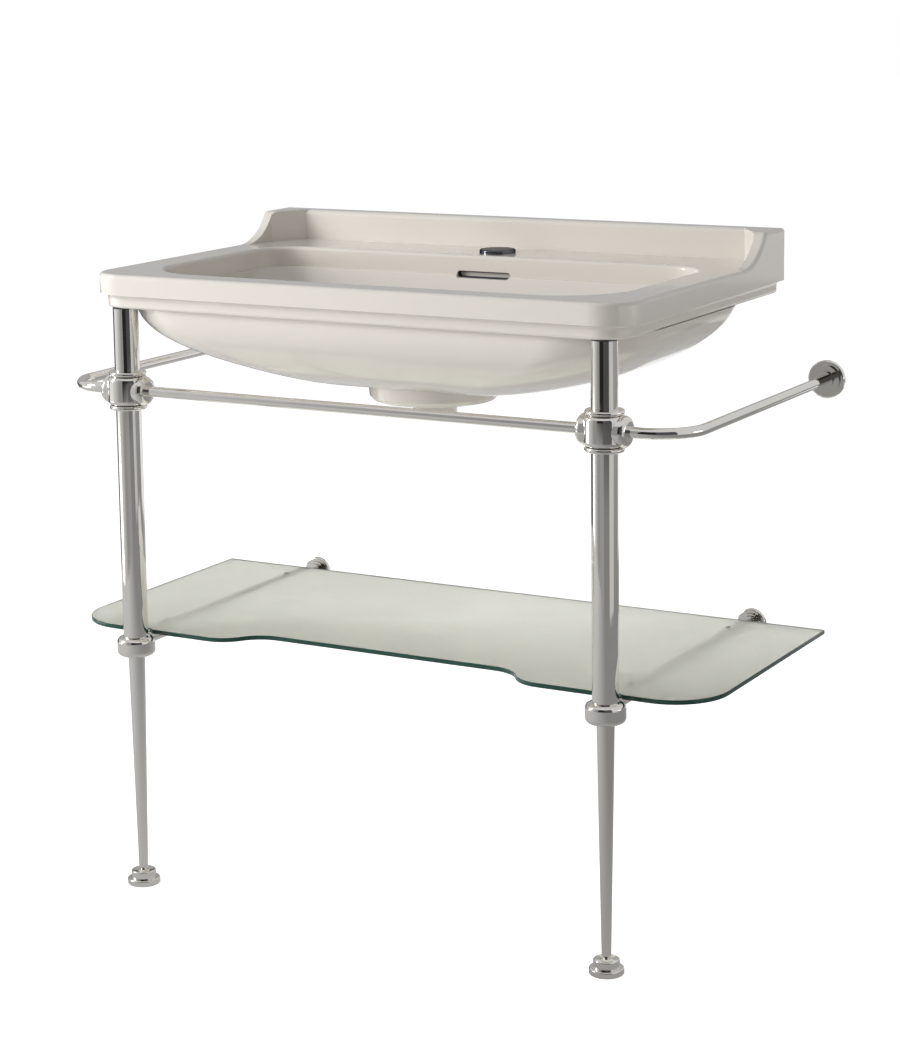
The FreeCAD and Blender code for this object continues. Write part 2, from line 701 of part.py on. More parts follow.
def rail_collar(name, sign):
    """The turned collar that holds the rail to the leg, with two side bosses."""
    body = new_body(name, LEG_OUT * sign, LEG_AHEAD, s.rail_height)
    bore = s.tube / 2 + s.fit
    barrel = s.collar_barrel / 2
    ring = s.collar_ring / 2
    high = s.collar_height / 2
    shoulder = s.collar_barrel_height / 2
    soft = s.collar_soft
    neck = ring - s.collar_groove
    turned(body, [(bore, -high), (neck, -high, s.collar_lip), (neck, -shoulder),
                  (barrel - soft, -shoulder, soft), (barrel, -shoulder + soft),
                  (barrel, shoulder - soft, soft), (barrel - soft, shoulder),
                  (neck, shoulder, s.collar_lip), (neck, high), (bore, high)])
    side = circle(sketch_on(body, "YZ_Plane", -s.boss_reach), s.boss)
    pad(body, side, s.boss_reach * 2)
    reach = s.boss_reach.value

    def boss_end(edge):
        return flat_at(edge, "X", reach) or flat_at(edge, "X", -reach)
    rounded_edges(body, s.boss_round, boss_end)
    pocket(body, circle(sketch_on(body, "XY_Plane", -high), bore * 2), s.collar_height, back=True)
    through(body, circle(sketch_on(body, "YZ_Plane"), s.rail + s.fit * 2))
    screw = sketch_on(body, "XZ_Plane")
    for end in (-1, 1):
        circle(screw, s.grub + s.fit * 2, s.grub_place * end, 0)
    pocket(body, screw, s.collar_barrel / 2)
    return body


def shelf_collar(name, sign):
    """The collar that joins upper tube, tapered leg and shelf arm."""
    body = new_body(name, LEG_OUT * sign, LEG_AHEAD, s.shelf_joint_height)
    high = s.shelf_collar_height / 2
    side = s.shelf_collar / 2
    soft = s.shelf_collar_soft
    upper = s.tube / 2 + s.fit
    lower = s.spigot / 2 + s.fit
    turned(body, [(lower, -high), (side - soft, -high, soft), (side, -high + soft),
                  (side, high - soft, soft), (side - soft, high), (upper, high),
                  (upper, s.collar_seat), (lower, s.collar_seat)])
    arm = circle(sketch_on(body, "XZ_Plane", -side), s.arm + s.fit * 2, 0, s.arm_raise)
    pocket(body, arm, s.arm_engage + s.arm_crown, back=True)
    return body


def lower_leg(name, sign):
    """The solid tapered leg with a spigot above and a threaded bore below."""
    body = new_body(name, LEG_OUT * sign, LEG_AHEAD, 0)
    top = s.shelf_joint_height - s.shelf_collar_height / 2
    low = s.foot_height + s.foot_back
    bore = s.foot_stud / 2 + s.fit
    spigot = s.spigot / 2
    turned(body, [(bore, low), (s.taper_end / 2, low), (s.taper_top / 2, top), (spigot, top),
                  (spigot, top + s.spigot_length), (0, top + s.spigot_length),
                  (0, low + s.stud_bore), (bore, low + s.stud_bore)])
    return body


def foot(name, sign):
    """The levelling foot: two stepped rings under a stud."""
    body = new_body(name, LEG_OUT * sign, LEG_AHEAD, 0)
    wide = s.foot_ring / 2
    cap = s.foot_cap / 2
    stud = s.foot_stud / 2
    soft = s.foot_soft
    step = s.foot_ring_height
    high = s.foot_height
    hub = s.taper_end / 2
    turned(body, [(0, 0), (wide - soft, 0, soft), (wide, soft), (wide, step - soft, soft),
                  (wide - soft, step), (cap, step), (cap, high - soft, soft),
                  (cap - soft, high), (hub + soft, high - s.foot_dish), (hub, high), (stud, high),
                  (stud, high + s.foot_back + s.stud_bore - s.stud_spare),
                  (0, high + s.foot_back + s.stud_bore - s.stud_spare)])
    return body


# ---------------------------------------------------------------- towel rail

def towel_rail():
    """One bent tube from the wall round both legs and back to the wall."""
    body = new_body("towel_rail", 0, 0, s.rail_height)
    side = LEG_OUT + s.rail_out
    front = -LEG_AHEAD
    bend = s.rail_bend
    near = s.disc_thick + s.rail_gap
    path = sketch_on(body, "XY_Plane")
    outline(path, [(side, -near), (side, front + bend, -bend), (side - bend, front),
                   (-side + bend, front, -bend), (-side, front + bend), (-side, -near)],
            closed=False)
    ring = sketch_on(body, "XZ_Plane", near)
    circle(ring, s.rail, side, 0)
    circle(ring, s.rail - s.rail_wall * 2, side, 0)
    names = ["Edge%d" % (i + 1) for i in range(5)]
    feature(body, "AdditivePipe", Profile=ring, Spine=(path, names))
    return body


def wall_plug(name, x, z, tube, wall, disc, pitch):
    """The hidden wall fixing: a disc with two screw holes and a plug into the tube."""
    body = new_body(name, x, 0, z)
    plug = tube / 2 - wall - s.fit
    profile = [(0, -s.disc_thick - s.plug_length), (plug, -s.disc_thick - s.plug_length),
               (plug, -s.disc_thick), (disc / 2, -s.disc_thick), (disc / 2, 0), (0, 0)]
    turned(body, profile, "XY_Plane")
    holes = sketch_on(body, "XZ_Plane")
    for end in (-1, 1):
        circle(holes, s.screw_hole, pitch / 2 * end, 0)
    pocket(body, holes, s.disc_thick * 2, back=True)
    return body


def wall_flange(name, x, z, tube, wide, disc):
    """The stepped cover at the wall that slides on the tube and hides the fixing."""
    body = new_body(name, x, 0, z)
    bore = tube / 2 + s.fit
    base = wide / 2
    step = base - s.flange_step
    hub = tube / 2 + s.flange_hub
    recess = disc / 2 + s.flange_air
    soft = s.flange_soft
    deep = s.disc_thick + s.flange_air
    thick = s.flange_thick
    profile = [(bore, -thick), (hub, -thick), (hub, -thick + s.flange_neck),
               (step, -thick + s.flange_neck), (step, -s.flange_base),
               (base - soft, -s.flange_base, soft), (base, -s.flange_base + soft),
               (base, 0), (recess, 0), (recess, -deep), (bore, -deep)]
    turned(body, profile, "XY_Plane")
    return body


# ---------------------------------------------------------------- shelf

def shelf_arm(name, sign):
    """The tube from the shelf collar back to the wall, under the glass."""
    start = LEG_AHEAD - s.shelf_collar / 2 + s.arm_engage
    body = new_body(name, LEG_OUT * sign, start,
                    s.shelf_joint_height + s.arm_raise)
    ring = circle(sketch_on(body, "XZ_Plane"), s.arm)
    circle(ring, s.arm - s.arm_wall * 2)
    pad(body, ring, start - s.disc_thick - s.rail_gap, back=True)
    return body


def glass_shelf():
    """The glass plate, scooped in front and notched round the two legs."""
    under = s.shelf_joint_height + s.arm_raise + s.arm / 2 + s.bumper_thick
    body = new_body("glass_shelf", 0, 0, under)
    half = LEG_OUT + s.glass_overhang
    back = -s.glass_to_wall
    front = s.glass_setback - LEG_AHEAD
    corner = s.glass_corner
    notch = s.tube / 2 + s.notch_gap
    leg = LEG_OUT
    open_half = root(notch * notch - s.glass_setback * s.glass_setback)
    scoop = front + s.glass_recess
    flat = s.glass_recess_half
    turn = s.glass_scoop_bend
    # two equal bends, one each way, carry the front edge into the scoop
    part = s.glass_recess / 2
    run = root(turn * turn - (turn - part) * (turn - part))
    plan = [(-half, front + corner, corner), (-half + corner, front),
            (-leg - open_half, front, -notch), (-leg + open_half, front),
            (-flat - run * 2, front, turn), (-flat - run, front + part, -turn),
            (-flat, scoop), (flat, scoop, -turn), (flat + run, front + part, turn),
            (flat + run * 2, front), (leg - open_half, front, -notch),
            (leg + open_half, front), (half - corner, front, corner), (half, front + corner),
            (half, back), (-half, back)]
    pad(body, outline(sketch_on(body, "XY_Plane"), plan), s.glass_thick)
    return body


def shelf_bumpers():
    """Four clear discs on the arms, under the glass."""
    body = new_body("shelf_bumpers", 0, 0, s.shelf_joint_height + s.arm_raise + s.arm / 2)
    discs = sketch_on(body, "XY_Plane")
    for sign in (-1, 1):
        for depth in (s.bumper_to_wall, LEG_AHEAD - s.bumper_to_leg):
            circle(discs, s.bumper, LEG_OUT * sign, -depth)
    pad(body, discs, s.bumper_thick)
    return body


def grub_screws():
    """The grub screws in the back of the rail collars."""
    body = new_body("collar_grub_screws", 0, LEG_AHEAD, s.rail_height)
    face = s.boss / 2 - s.grub_sink
    points = sketch_on(body, "XZ_Plane", -face)
    for sign in (-1, 1):
        for end in (-1, 1):
            circle(points, s.grub, LEG_OUT * sign + s.grub_place * end, 0)
    pad(body, points, face - s.rail / 2)
    return body


# ---------------------------------------------------------------- assembly

def build():
    basin()
    overflow_trim()
    tap_hole_blank()
    towel_rail()
    for side, sign in (("left", -1), ("right", 1)):
        leg = LEG_OUT * sign
        arm_height = s.shelf_joint_height + s.arm_raise
        rail_side = (LEG_OUT + s.rail_out) * sign
        upper_leg(side + "_upper_leg", sign)
        leg_pad(side + "_leg_pad", sign)
        rail_collar(side + "_rail_collar", sign)
        shelf_collar(side + "_shelf_collar", sign)
        lower_leg(side + "_lower_leg", sign)
        foot(side + "_foot", sign)
        wall_plug(side + "_rail_wall_plug", rail_side, s.rail_height, s.rail, s.rail_wall,
                  s.rail_disc, s.rail_disc_pitch)
        wall_flange(side + "_rail_flange", rail_side, s.rail_height, s.rail, s.rail_flange,
                    s.rail_disc)
        shelf_arm(side + "_shelf_arm", sign)
        wall_plug(side + "_arm_wall_plug", leg, arm_height, s.arm, s.arm_wall,
                  s.arm_disc, s.arm_disc_pitch)
        wall_flange(side + "_arm_rosette", leg, arm_height, s.arm, s.rosette, s.arm_disc)
    glass_shelf()
    shelf_bumpers()
    grub_screws()


def check():
    doc.recompute()
    for item in doc.Objects:
        if "Invalid" in item.State or "Error" in item.State:
            raise RuntimeError("%s did not build" % item.Name)
    for body in NODES:
        if body.Shape.isNull() or not body.Shape.isValid() or not body.Shape.Solids:
            raise RuntimeError("%s is not a sound solid" % body.Name)


def write():
    os.makedirs("parts", exist_ok=True)
    for body in NODES:
        body.Shape.exportStep("parts/%s.step" % body.Label)
        print("%-22s solids %d  volume %.0f" % (body.Label, len(body.Shape.Solids),
                                                body.Shape.Volume))


build()
check()
write()
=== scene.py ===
import json
import math

import bpy
from bpy.props import FloatProperty, FloatVectorProperty
from mathutils import Matrix, Vector


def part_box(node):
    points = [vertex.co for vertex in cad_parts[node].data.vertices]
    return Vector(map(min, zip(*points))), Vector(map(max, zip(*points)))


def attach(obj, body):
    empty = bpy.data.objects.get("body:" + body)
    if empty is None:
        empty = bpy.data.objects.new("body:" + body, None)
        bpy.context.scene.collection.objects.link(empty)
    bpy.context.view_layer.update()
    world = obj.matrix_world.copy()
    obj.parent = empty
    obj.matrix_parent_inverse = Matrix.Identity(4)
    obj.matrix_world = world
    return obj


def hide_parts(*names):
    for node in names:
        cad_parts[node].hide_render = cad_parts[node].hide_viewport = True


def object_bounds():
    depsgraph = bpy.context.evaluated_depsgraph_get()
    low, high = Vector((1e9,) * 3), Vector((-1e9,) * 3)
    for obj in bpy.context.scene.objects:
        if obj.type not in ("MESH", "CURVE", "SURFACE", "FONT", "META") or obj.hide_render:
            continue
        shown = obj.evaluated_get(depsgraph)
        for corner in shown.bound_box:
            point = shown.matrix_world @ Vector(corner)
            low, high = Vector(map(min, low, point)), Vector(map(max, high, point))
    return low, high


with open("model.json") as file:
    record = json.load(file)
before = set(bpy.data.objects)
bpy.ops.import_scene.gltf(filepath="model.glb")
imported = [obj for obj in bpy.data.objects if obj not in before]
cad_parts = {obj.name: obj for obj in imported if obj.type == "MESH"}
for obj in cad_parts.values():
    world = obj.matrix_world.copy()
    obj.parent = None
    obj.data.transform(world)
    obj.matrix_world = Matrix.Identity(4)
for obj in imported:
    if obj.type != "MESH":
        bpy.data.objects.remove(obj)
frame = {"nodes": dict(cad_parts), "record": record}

bl_info = {
    "name": "Console Washbasin",
    "version": (1, 0, 0),
    "blender": (4, 5, 0),
    "location": "View3D > Sidebar > Washbasin",
    "description": "Finishes and fine pieces for a console washbasin with legs, rail and shelf",
    "category": "Object",
}

MM = 0.001
WHITE = (1.0, 1.0, 1.0)
CAD_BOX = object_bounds()
NODES = frame["nodes"]
WALL = CAD_BOX[1].y

# the photograph's camera, fitted to points on the object; its place counts from the wall
PICTURE = (900, 1064)
SENSOR_MM = 36.0
CAMERA_FOCAL_PX = 2595.7
CAMERA_YAW = 29.171
CAMERA_PITCH = 9.137
CAMERA_ROLL = -0.738
CAMERA_PLACE = (1.7113, -3.2854, 1.2723)
CAMERA_CENTRE_ROW = 372

# optics of glass and of clear plastic
GLASS_IOR = 1.5
PLASTIC_IOR = 1.45

# the stage: sizes in metres, and what the floor and the backdrop show of themselves
FLOOR_SIZE = 60.0
SCREEN_RADIUS = 2.2
SHEET_LIFT = 0.3 * MM
SHEET_TONES = (0.62, 0.28)
FLOOR_GLOW, FLOOR_MIRRORED = 0.72, 0.8
BACKDROP_GLOW, BACKDROP_MIRRORED = 1.0, 0.72

# each screen: name, first and last bearing in degrees (0 in front, positive to the
# right), heights, greys at the start and end of its change, the change's axis and places
FULL = (0.0, 2.4)
LOW = (0.0, 0.6)
SCREENS = (
    ("left_screen", (-58.0, -7.0), FULL, (0.72, 0.32), "X", (-1.8, -0.8)),
    ("front_screen", (-7.0, 24.0), FULL, (0.36, 0.02), "Z", (0.31, 0.38)),
    ("front_side_screen", (24.0, 62.0), FULL, (0.26, 0.08), "Z", (0.2, 0.4)),
    ("side_light", (62.0, 89.0), LOW, (0.62, 0.62), "Z", LOW),
    ("side_screen", (89.0, 152.0), LOW, (0.3, 0.36), "Z", LOW),
    ("rear_screen", (-151.0, -86.0), LOW, (0.16, 0.1), "Z", LOW),
    ("rear_light", (-179.0, -100.0), (0.62, 1.9), (0.3, 0.45), "Z", (0.62, 1.0)),
)

# each lamp: name, place, the point it looks at, size and its share of the key's power
LAMPS = (
    ("key", (-3.0, -2.2, 1.8), (0.0, 0.0, 0.7), (2.0, 2.0), 1.0),
    ("front", (0.4, -3.6, 2.6), (0.0, 0.0, 0.6), (1.6, 1.2), 0.03),
    ("side", (3.2, 0.9, 0.5), (0.0, 0.0, 0.7), (1.4, 1.0), 0.07),
)


# ---------------------------------------------------------------- settings

class FinishSettings(bpy.types.PropertyGroup):
    """Colours and fine sizes of the object"""
    ceramic: FloatVectorProperty(
        name="Ceramic", description="Colour of the glaze", subtype="COLOR", size=3,
        min=0.0, max=1.0, default=(0.795, 0.75, 0.688))
    chrome: FloatVectorProperty(
        name="Chrome", description="Colour of the chrome plating", subtype="COLOR", size=3,
        min=0.0, max=1.0, default=(0.80, 0.78, 0.745))
    glass: FloatVectorProperty(
        name="Glass", description="Tint of the etched glass", subtype="COLOR", size=3,
        min=0.0, max=1.0, default=(0.875, 0.88, 0.795))
    glass_edge: FloatVectorProperty(
        name="Glass edge", description="Colour deep in the polished edge", subtype="COLOR",
        size=3, min=0.0, max=1.0, default=(0.004, 0.045, 0.032))
    # the cover colour darkens chrome plating to paint a dark reflection onto the tap hole cover
    # and the overflow ring: a painted reflection
    cover: FloatVectorProperty(
        name="Tap hole cover", description="Dark plating of the cover and the overflow ring",
        subtype="COLOR", size=3, min=0.0, max=1.0, default=(0.13, 0.135, 0.15))
    glass_arris: FloatProperty(
        name="Glass arris", description="Width of the bevel on the glass edge",
        default=0.8 * MM, min=0.0, subtype="DISTANCE")
    grub_screw: FloatProperty(
        name="Grub screw", description="Diameter of the grub screws",
        default=5.0 * MM, min=0.0, subtype="DISTANCE")


class StageSettings(bpy.types.PropertyGroup):
    """Light and background of the studio"""
    key: FloatProperty(
        name="Key lamp", description="Power of the large lamp", default=130.0, min=0.0,
        subtype="POWER")
    sky: FloatProperty(
        name="Sky", description="Level of the light from all round", default=0.34, min=0.0)
    background: FloatVectorProperty(
        name="Background", description="Colour of floor and backdrop", subtype="COLOR",
        size=3, min=0.0, max=1.0, default=(0.9, 0.9, 0.9))


# ---------------------------------------------------------------- material helpers

def shade(colour, factor):
    """The colour made lighter or darker."""
    return tuple(min(1.0, c * factor) for c in colour)


def empty_material(name, shader_type, output):
    """A node material that holds one shader, and its output."""
    material = bpy.data.materials.new(name)
    material.use_nodes = True
    tree = material.node_tree
    tree.nodes.clear()
    out = tree.nodes.new("ShaderNodeOutputMaterial")
    shader = tree.nodes.new(shader_type)
    tree.links.new(shader.outputs[output], out.inputs["Surface"])
    return material, tree, shader


def set_sockets(node, values):
    """Writes plain values on a node's inputs."""
    for name, value in values.items():
        node.inputs[name].default_value = value


def wear_group():
    """Soft patches and fine grain on Object coordinates, for any finish."""
    group = bpy.data.node_groups.new("soft_wear", "ShaderNodeTree")
    face = group.interface
    for name, value in (("Patch Scale", 8.0), ("Grain Scale", 400.0), ("Low", 0.1),
                        ("High", 0.2)):
        socket = face.new_socket(name, in_out="INPUT", socket_type="NodeSocketFloat")
        socket.default_value = value
    for name in ("Patch", "Grain", "Roughness"):
        face.new_socket(name, in_out="OUTPUT", socket_type="NodeSocketFloat")
    nodes, links = group.nodes, group.links
    take = nodes.new("NodeGroupInput")
    give = nodes.new("NodeGroupOutput")
    place = nodes.new("ShaderNodeTexCoord")
    patch = nodes.new("ShaderNodeTexNoise")
    grain = nodes.new("ShaderNodeTexNoise")
    spread = nodes.new("ShaderNodeMapRange")
    set_sockets(patch, {"Detail": 4.0})
    set_sockets(spread, {"From Min": 0.35, "From Max": 0.65})
    for start, end in (
            (place.outputs["Object"], patch.inputs["Vector"]),
            (place.outputs["Object"], grain.inputs["Vector"]),
            (take.outputs["Patch Scale"], patch.inputs["Scale"]),
            (take.outputs["Grain Scale"], grain.inputs["Scale"]),
            (patch.outputs["Fac"], spread.inputs["Value"]),
            (take.outputs["Low"], spread.inputs["To Min"]),
            (take.outputs["High"], spread.inputs["To Max"]),
            (patch.outputs["Fac"], give.inputs["Patch"]),
            (grain.outputs["Fac"], give.inputs["Grain"]),
            (spread.outputs["Result"], give.inputs["Roughness"])):
        links.new(start, end)
    return group


def place_wear(tree, patch, grain, roughness):
    """Puts the wear group in a material, with the scales of its patches and its grain."""
    node = tree.nodes.new("ShaderNodeGroup")
    node.node_tree = bpy.data.node_groups.get("soft_wear") or wear_group()
    set_sockets(node, {"Patch Scale": patch, "Grain Scale": grain, "Low": roughness[0],
                       "High": roughness[1]})
    return node


def mix_colour(tree, factor, first, second):
    """Mixes two colours by a factor socket."""
    node = tree.nodes.new("ShaderNodeMix")
    node.data_type = "RGBA"
    tree.links.new(factor, node.inputs["Factor"])
    set_sockets(node, {"A": (*first, 1.0), "B": (*second, 1.0)})
    return node.outputs["Result"]


def bump(tree, shader, height, strength, distance):
    """A bump from one height socket into the shader's normal."""
    node = tree.nodes.new("ShaderNodeBump")
    set_sockets(node, {"Strength": strength, "Distance": distance})
    tree.links.new(height, node.inputs["Height"])
    tree.links.new(node.outputs["Normal"], shader.inputs["Normal"])


def worn_material(name, mask, colours, patch, grain, roughness):
    """A finish whose colour and roughness wander a little over the surface."""
    material, tree, shader = empty_material(name, "ShaderNodeBsdfPrincipled", "BSDF")
    wear = place_wear(tree, patch, grain, roughness)
    tint = mix_colour(tree, wear.outputs[mask], *colours)
    tree.links.new(tint, shader.inputs["Base Color"])
    tree.links.new(wear.outputs["Roughness"], shader.inputs["Roughness"])
    return material, tree, shader, wear


def set_material(obj, material):
    """Gives an object that one material."""
    obj.data.materials.clear()
    obj.data.materials.append(material)


# ---------------------------------------------------------------- finishes

def ceramic_material(colour):
    """Fired glaze: a faint wave in the surface, faint patches and a wet gloss."""
    material, tree, shader, wear = worn_material(
        "ceramic_glaze", "Patch", (shade(colour, 0.985), shade(colour, 1.02)),
        patch=5.0, grain=60.0, roughness=(0.10, 0.16))
    set_sockets(shader, {"Coat Weight": 0.5, "Coat Roughness": 0.07})
    bump(tree, shader, wear.outputs["Grain"], strength=0.03, distance=0.002)
    return material


def chrome_material(name, colour, edge=WHITE):
    """Plating with faint smudges and a barely wavy polish; edge tints what glances off."""
    material, tree, shader, wear = worn_material(
        name, "Patch", (shade(colour, 0.97), colour),
        patch=30.0, grain=900.0, roughness=(0.03, 0.08))
    set_sockets(shader, {"Metallic": 1.0, "Specular Tint": (*edge, 1.0)})
    bump(tree, shader, wear.outputs["Patch"], strength=0.02, distance=0.001)
    return material


def steel_material():
    """Plain stainless steel with a fine grain."""
    material, tree, shader, wear = worn_material(
        "plain_steel", "Grain", ((0.5, 0.5, 0.51), (0.62, 0.62, 0.63)),
        patch=60.0, grain=1200.0, roughness=(0.25, 0.4))
    set_sockets(shader, {"Metallic": 1.0})
    bump(tree, shader, wear.outputs["Grain"], strength=0.05, distance=0.0003)
    return material


def brass_material():
    """Turned brass, a little dull."""
    material, tree, shader, wear = worn_material(
        "turned_brass", "Patch", ((0.55, 0.4, 0.16), (0.72, 0.56, 0.26)),
        patch=80.0, grain=1500.0, roughness=(0.22, 0.4))
    set_sockets(shader, {"Metallic": 1.0})
    bump(tree, shader, wear.outputs["Grain"], strength=0.05, distance=0.0003)
    return material


def rubber_material():
    """Black rubber with a dusty bloom."""
    material, tree, shader, wear = worn_material(
        "black_rubber", "Patch", ((0.015, 0.015, 0.015), (0.04, 0.04, 0.04)),
        patch=90.0, grain=2000.0, roughness=(0.55, 0.75))
    bump(tree, shader, wear.outputs["Grain"], strength=0.1, distance=0.0003)
    return material


def bumper_material():
    """Clear soft plastic, slightly cloudy."""
    material, _, shader, _ = worn_material(
        "clear_plastic", "Patch", ((0.8, 0.82, 0.8), (0.92, 0.93, 0.92)),
        patch=120.0, grain=2000.0, roughness=(0.2, 0.35))
    set_sockets(shader, {"Transmission Weight": 0.7, "IOR": PLASTIC_IOR})
    return material


def glass_face_material(colour):
    """The etched faces: satin glass that lets the light through softly."""
    material, tree, shader, wear = worn_material(
        "etched_glass", "Patch", (shade(colour, 0.985), colour),
        patch=6.0, grain=1500.0, roughness=(0.30, 0.38))
    set_sockets(shader, {"Transmission Weight": 0.85, "IOR": GLASS_IOR})
    bump(tree, shader, wear.outputs["Grain"], strength=0.05, distance=0.0002)
    return material


def glass_edge_material(colour):
    """The ground and polished edge, where the glass looks deep green."""
    material, _, shader, _ = worn_material(
        "glass_edge", "Patch", (shade(colour, 0.8), shade(colour, 1.5)),
        patch=40.0, grain=900.0, roughness=(0.04, 0.1))
    set_sockets(shader, {"Coat Weight": 0.4, "IOR": GLASS_IOR})
    return material


class WASHBASIN_OT_finishes(bpy.types.Operator):
    """Makes the finishes and puts them on the pieces that stay as they are"""
    bl_idname = "washbasin.finishes"
    bl_label = "Finishes"

    def execute(self, context):
        look = context.scene.washbasin_finish
        made = {
            "ceramic": ceramic_material(look.ceramic),
            "chrome": chrome_material("chrome_plating", look.chrome),
            "steel": steel_material(),
            "brass": brass_material(),
            "rubber": rubber_material(),
            "clear_bumper": bumper_material(),
            "frosted_glass": glass_face_material(look.glass),
        }
        glass_edge_material(look.glass_edge)
        for part in frame["record"]["subparts"]:
            set_material(NODES[part["node"]], made[part["material_slot"]])
        # the tap hole cover and the overflow ring are chrome; their dark colour and edge tint
        # are a painted dark reflection
        painted_dark_chrome = chrome_material("chrome_painted_dark_reflection", look.cover, shade(look.cover, 1.5))
        for name in ("tap_hole_cover", "overflow_trim"):
            set_material(NODES[name], painted_dark_chrome)
        return {"FINISHED"}


# ---------------------------------------------------------------- pieces

def select_none():
    """Leaves nothing selected."""
    for obj in bpy.context.selected_objects:
        obj.select_set(False)


def copy_of(node, name):
    """A merged copy of a node, selected, to be worked on as a piece of its own."""
    mesh = NODES[node].data.copy()
    mesh.name = name
    piece = bpy.data.objects.new(name, mesh)
    bpy.context.scene.collection.objects.link(piece)
    select_none()
    piece.select_set(True)
    bpy.context.view_layer.objects.active = piece
    bpy.ops.object.mode_set(mode="EDIT")
    bpy.ops.mesh.select_all(action="SELECT")
    bpy.ops.mesh.remove_doubles(threshold=0.000002)
    bpy.ops.mesh.dissolve_limited(angle_limit=math.radians(0.3))
    bpy.ops.object.mode_set(mode="OBJECT")
    return piece


class WASHBASIN_OT_shelf(bpy.types.Operator):
    """Makes the glass plate with etched faces and a ground, polished edge"""
    bl_idname = "washbasin.shelf"
    bl_label = "Glass shelf"

    def execute(self, context):
        look = context.scene.washbasin_finish
        plate = copy_of("glass_shelf", "shelf_plate")
        bpy.ops.object.mode_set(mode="EDIT")
        bpy.ops.mesh.select_mode(type="EDGE")
        bpy.ops.mesh.select_all(action="DESELECT")
        bpy.ops.mesh.edges_select_sharp(sharpness=math.radians(70))
        bpy.ops.mesh.bevel(offset=look.glass_arris, segments=3, affect="EDGES")
        bpy.ops.object.mode_set(mode="OBJECT")
        set_material(plate, bpy.data.materials["etched_glass"])
        plate.data.materials.append(bpy.data.materials["glass_edge"])
        for face in plate.data.polygons:
            lies_flat = abs(face.normal.z) > 0.99
            face.material_index = 0 if lies_flat else 1
        bpy.ops.object.shade_smooth_by_angle(angle=math.radians(25))
        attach(plate, "shelf")
        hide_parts("glass_shelf")
        return {"FINISHED"}


def socket_screw(place, width, length):
    """A short screw along Y with a round socket in the end that faces the wall."""
    rim, wall, depth = width * 0.08, width * 0.14, width * 0.5
    select_none()
    bpy.ops.mesh.primitive_cylinder_add(
        vertices=24, radius=width / 2, depth=length, location=place,
        rotation=(math.radians(-90), 0.0, 0.0))
    screw = bpy.context.object
    bpy.ops.object.transform_apply(location=True, rotation=True, scale=True)
    bpy.ops.object.mode_set(mode="EDIT")
    bpy.ops.mesh.select_mode(type="FACE")
    bpy.ops.mesh.select_all(action="DESELECT")
    bpy.ops.object.mode_set(mode="OBJECT")
    end = max(v.co.y for v in screw.data.vertices)
    for face in screw.data.polygons:
        face.select = face.normal.y > 0.9 and abs(face.center.y - end) < 0.01 * MM
    bpy.ops.object.mode_set(mode="EDIT")
    bpy.ops.mesh.inset(thickness=rim)
    bpy.ops.mesh.inset(thickness=wall)
    bpy.ops.mesh.extrude_region_move(TRANSFORM_OT_translate={"value": (0.0, -depth, 0.0)})
    bpy.ops.object.mode_set(mode="OBJECT")
    bpy.ops.object.shade_smooth_by_angle(angle=math.radians(30))
    return screw


class WASHBASIN_OT_screws(bpy.types.Operator):
    """Makes the socket grub screws in the back of the rail collars"""
    bl_idname = "washbasin.screws"
    bl_label = "Grub screws"

    def execute(self, context):
        low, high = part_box("collar_grub_screws")
        length = high.y - low.y
        width = context.scene.washbasin_finish.grub_screw
        middle = (low + high) / 2
        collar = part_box("left_rail_collar")
        leg = (collar[0].x + collar[1].x) / 2
        away = low.x + width / 2 - leg
        for side, sign in (("left", 1.0), ("right", -1.0)):
            for end in (-1.0, 1.0):
                place = (leg * sign + away * end, middle.y, middle.z)
                screw = socket_screw(place, width, length)
                screw.name = "%s_grub_screw_%s" % (side, "inner" if end * sign < 0 else "outer")
                set_material(screw, bpy.data.materials["plain_steel"])
                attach(screw, "console")
                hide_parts("collar_grub_screws")
        return {"FINISHED"}


# ---------------------------------------------------------------- stage

def camera_matrix():
    """The camera's place and turn, from the fitted angles."""
    yaw, pitch, roll = (math.radians(a) for a in (CAMERA_YAW, CAMERA_PITCH, CAMERA_ROLL))
    ahead = Vector((-math.sin(yaw) * math.cos(pitch), math.cos(yaw) * math.cos(pitch),
                    -math.sin(pitch)))
    right = Vector((math.cos(yaw), math.sin(yaw), 0.0))
    up = right.cross(ahead)
    across = math.cos(roll) * right + math.sin(roll) * up
    over = -math.sin(roll) * right + math.cos(roll) * up
    turn = Matrix((across, over, -ahead)).transposed()
    place = Vector(CAMERA_PLACE) + Vector((0.0, WALL, 0.0))
    return Matrix.Translation(place) @ turn.to_4x4()


def add_camera():
    """The scene's camera, framed as the photograph is."""
    data = bpy.data.cameras.new("camera")
    data.sensor_width = SENSOR_MM
    data.sensor_fit = "AUTO"
    data.lens = CAMERA_FOCAL_PX / max(PICTURE) * data.sensor_width
    data.shift_y = (CAMERA_CENTRE_ROW - PICTURE[1] / 2) / max(PICTURE)
    camera = bpy.data.objects.new("camera", data)
    bpy.context.scene.collection.objects.link(camera)
    camera.matrix_world = camera_matrix()
    bpy.context.scene.camera = camera


def area_lamp(name, place, target, size, power):
    """A white rectangular lamp that looks at a point."""
    data = bpy.data.lights.new(name, "AREA")
    data.shape = "RECTANGLE"
    data.size, data.size_y = size
    data.energy = power
    lamp = bpy.data.objects.new(name, data)
    bpy.context.scene.collection.objects.link(lamp)
    lamp.location = place
    lamp.rotation_euler = (Vector(target) - Vector(place)).to_track_quat("-Z", "Y").to_euler()


def maths(tree, operation, first, second):
    """A Math node of a socket and either another socket or a number."""
    node = tree.nodes.new("ShaderNodeMath")
    node.operation = operation
    tree.links.new(first, node.inputs[0])
    if isinstance(second, float):
        node.inputs[1].default_value = second
    else:
        tree.links.new(second, node.inputs[1])
    return node.outputs["Value"]


